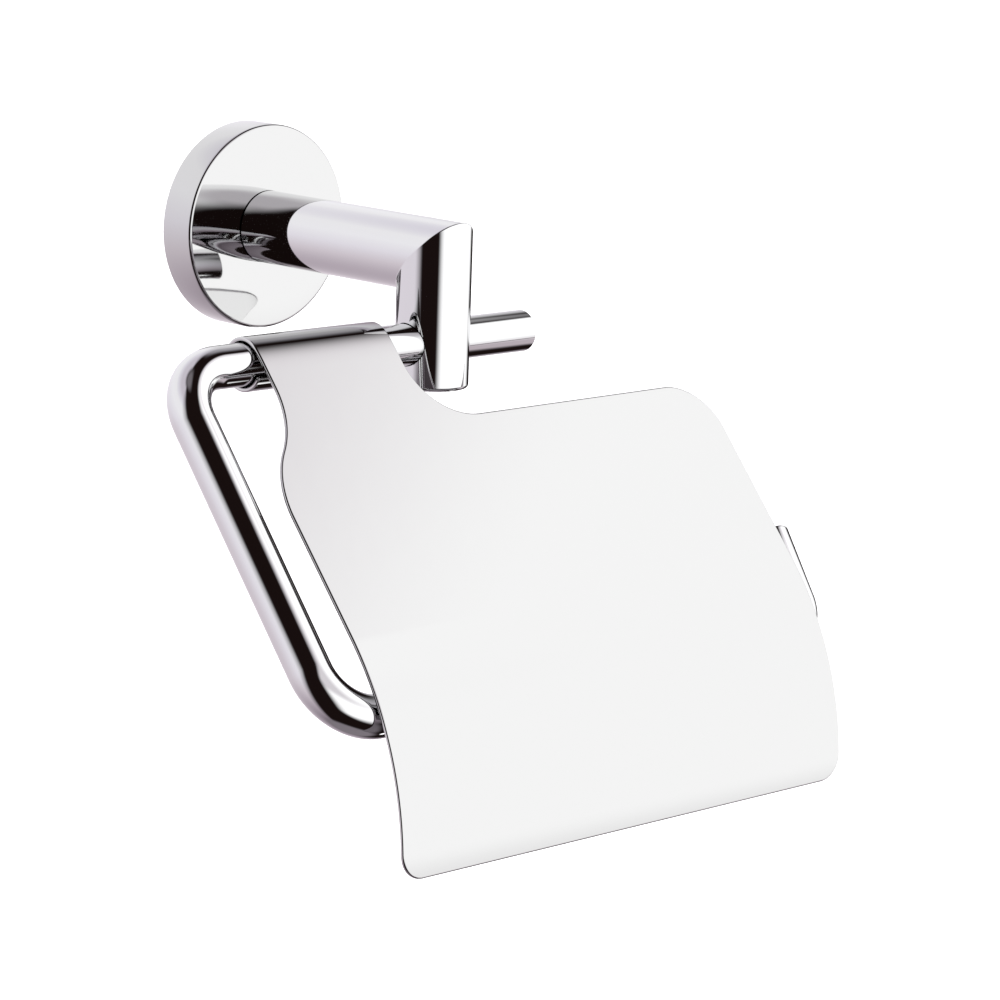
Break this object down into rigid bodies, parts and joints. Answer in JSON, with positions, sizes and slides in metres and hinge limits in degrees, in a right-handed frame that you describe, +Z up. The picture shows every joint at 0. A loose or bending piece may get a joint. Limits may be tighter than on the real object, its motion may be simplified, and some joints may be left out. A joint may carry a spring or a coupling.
{
  "type": "toilet paper holder",
  "caption": "Wall-mounted toilet paper holder: round flange, mitred arm and post, a bent roll rod leaning forward with an upturned tip, and a curved cover hinged on the top bar.",
  "frame": {"origin": "centre of the wall plate's back face, on the arm's axis and in the plane of the wall", "axes": "+Y into the wall, so the holder stands out towards -Y; +X to the right of someone facing it; +Z up"},
  "size_m": [0.1601, 0.1344, 0.1428],
  "materials": {
    "chrome": "polished chrome plate",
    "cover_chrome": "polished chrome plate on sheet",
    "plate_steel": "zinc plated",
    "fastener": "turned stainless steel",
    "brass": "as turned",
    "cap_plastic": "moulded"
  },
  "bodies": {
    "holder": {"wall_plate": "plate_steel", "flange_cup": "chrome", "flange_grub_screw": "fastener", "flange_screw": "fastener", "flange_washer": "fastener", "arm_tube": "chrome", "arm_plug": "brass", "post_tube": "chrome", "post_core": "brass", "rod_grub_screw": "fastener", "post_end_cap": "cap_plastic", "roll_rod": "chrome"},
    "cover": {"cover": "cover_chrome"}
  },
  "joints": [
    {"name": "cover_hinge", "type": "hinge", "parent": "holder", "child": "cover", "pos_m": [0, -0.0663, -0.0194], "axis": [-1, 0, 0], "range_deg": [0, 100]}
  ]
}
